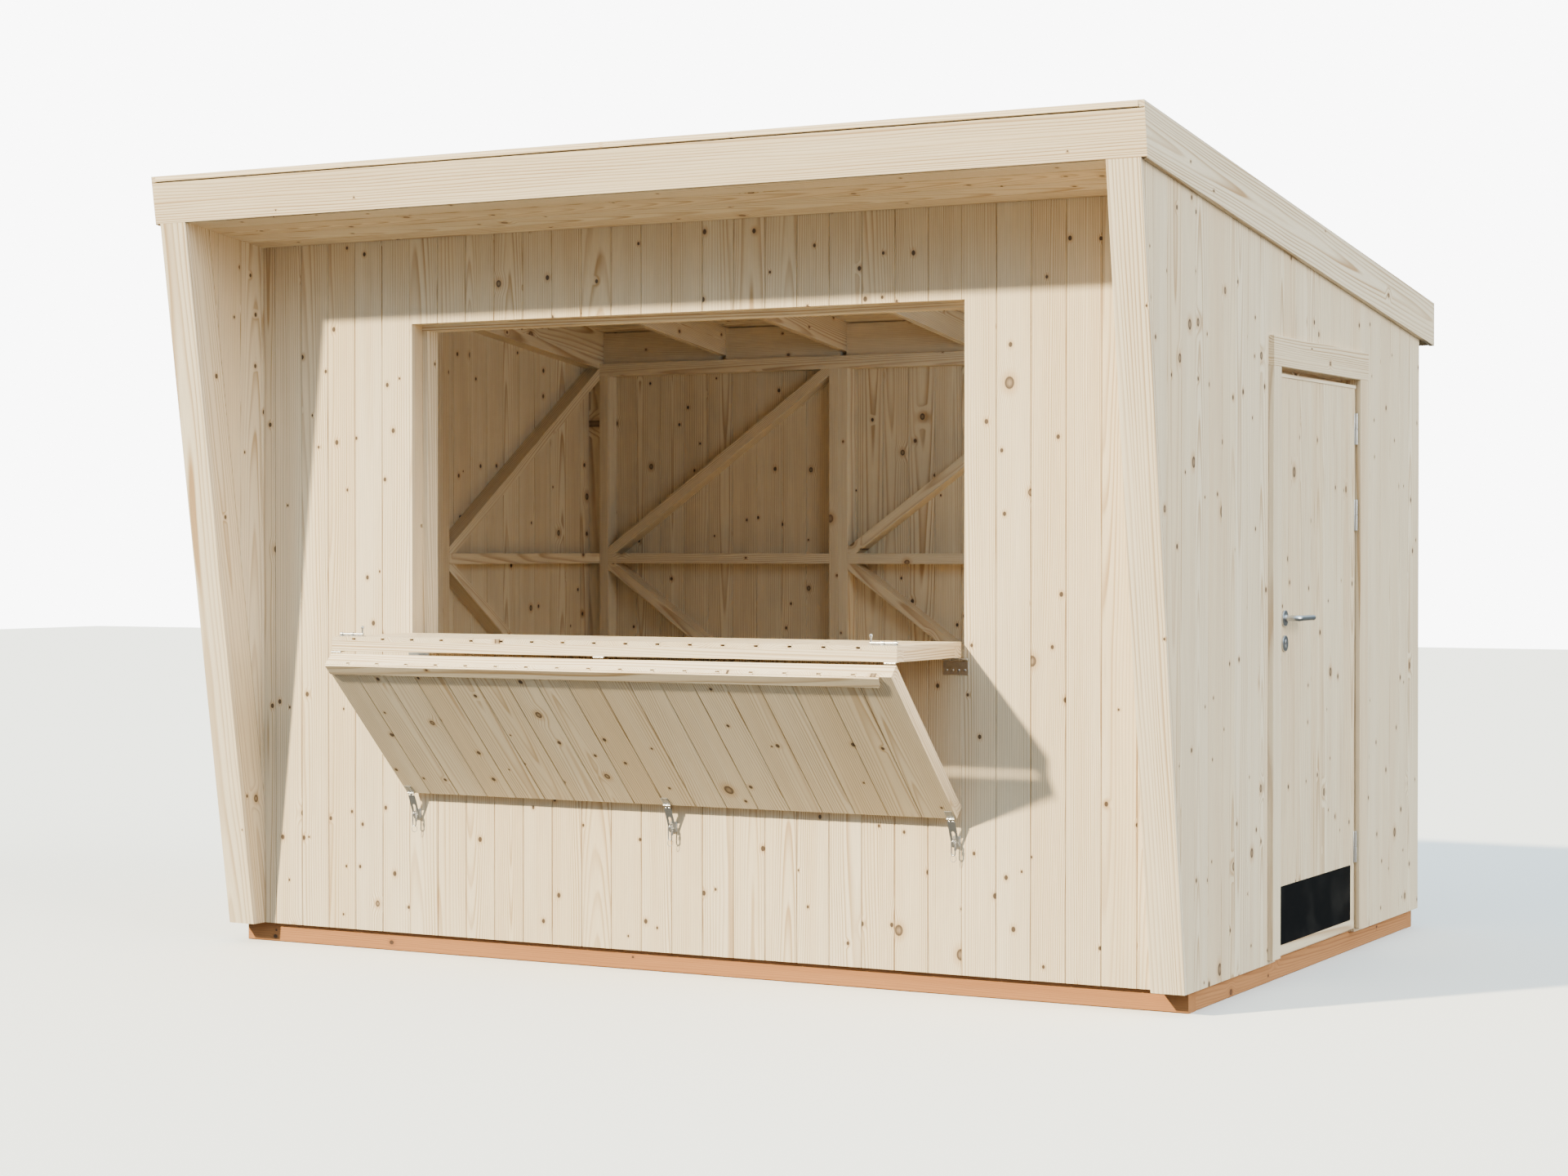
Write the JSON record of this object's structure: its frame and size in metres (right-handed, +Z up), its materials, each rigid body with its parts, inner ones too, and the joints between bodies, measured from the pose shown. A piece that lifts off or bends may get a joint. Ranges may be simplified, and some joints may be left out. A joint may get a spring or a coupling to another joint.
{
  "type": "wooden market stall",
  "caption": "Boarded wooden market stall with a roof that falls to the rear, a front recess, a fold-down serving hatch with counter and strut flaps, and a side door.",
  "frame": {"origin": "on the ground, under the middle of the floor", "axes": "+X to the right along the serving front, +Y to the rear, +Z up"},
  "size_m": [3.481, 2.8363, 2.5312],
  "materials": {
    "boards": "sawn and planed, untreated spruce",
    "trim": "planed, untreated spruce",
    "framing": "planed, untreated spruce",
    "floor": "planed, untreated spruce",
    "treated_beams": "brown pressure treated",
    "kick_panel": "satin black",
    "ironwork": "bright zinc plated"
  },
  "bodies": {
    "stall": {"base_frame": "treated_beams", "floor_boards": "floor", "front_wall_left": "boards", "front_wall_right": "boards", "front_wall_below": "boards", "front_wall_above": "boards", "front_frame": "framing", "hatch_posts": "framing", "hatch_stops": "trim", "left_wall": "boards", "left_frame": "framing", "right_wall_front": "boards", "right_wall_rear": "boards", "right_wall_over_door": "boards", "right_frame": "framing", "fin_linings": "boards", "fin_trims": "trim", "back_wall": "boards", "back_frame": "framing", "rafters": "framing", "roof_boards": "boards", "soffit_boards": "boards", "front_fascia": "trim", "left_fascia": "trim", "right_fascia": "trim", "back_fascia": "trim", "door_jambs": "trim", "door_casing": "trim", "counter_hinges": "ironwork", "hasp_staples": "ironwork"},
    "door": {"door_boards": "boards", "door_ledges": "framing", "door_rails": "trim", "kick_panel": "kick_panel", "door_hinges": "ironwork", "door_roses": "ironwork"},
    "lever": {"door_lever": "ironwork"},
    "counter": {"counter_boards": "boards", "counter_frame": "trim", "bolt_barrels": "ironwork", "fold_hinges": "ironwork"},
    "left_bolt": {"bolt_left": "ironwork"},
    "right_bolt": {"bolt_right": "ironwork"},
    "strut": {"strut_boards": "boards", "strut_frame": "trim", "cover_batten": "trim", "hasp_plates": "ironwork"},
    "straps": {"hasp_straps": "ironwork"}
  },
  "joints": [
    {"name": "side_door", "type": "hinge", "parent": "stall", "child": "door", "pos_m": [1.708, 0.381, 1], "axis": [0, 0, 1], "range_deg": [0, 105]},
    {"name": "door_handle", "type": "hinge", "parent": "door", "child": "lever", "pos_m": [1.703, -0.328, 1.109], "axis": [-1, 0, 0], "range_deg": [0, 35], "stiffness_Nm_per_rad": 2, "springref_deg": -22.92},
    {"name": "counter_flap", "type": "hinge", "parent": "stall", "child": "counter", "pos_m": [0, -1.124, 0.996], "axis": [-1, 0, 0], "range_deg": [0, 90]},
    {"name": "strut_flap", "type": "hinge", "parent": "counter", "child": "strut", "pos_m": [0, -1.559, 0.999], "axis": [-1, 0, 0], "range_deg": [0, 135.11]},
    {"name": "hasp_straps", "type": "hinge", "parent": "strut", "child": "straps", "pos_m": [0, -1.1607, 0.52741], "axis": [-1, 0, 0], "range_deg": [0, 157.9]},
    {"name": "left_bolt", "type": "slide", "parent": "counter", "child": "left_bolt", "axis": [-1, 0, 0], "range_m": [0, 0.026]},
    {"name": "right_bolt", "type": "slide", "parent": "counter", "child": "right_bolt", "axis": [1, 0, 0], "range_m": [0, 0.026]}
  ],
  "couplings": [
    {"joint": "hasp_straps", "follows": "strut_flap", "ratio": 1.1685}
  ]
}
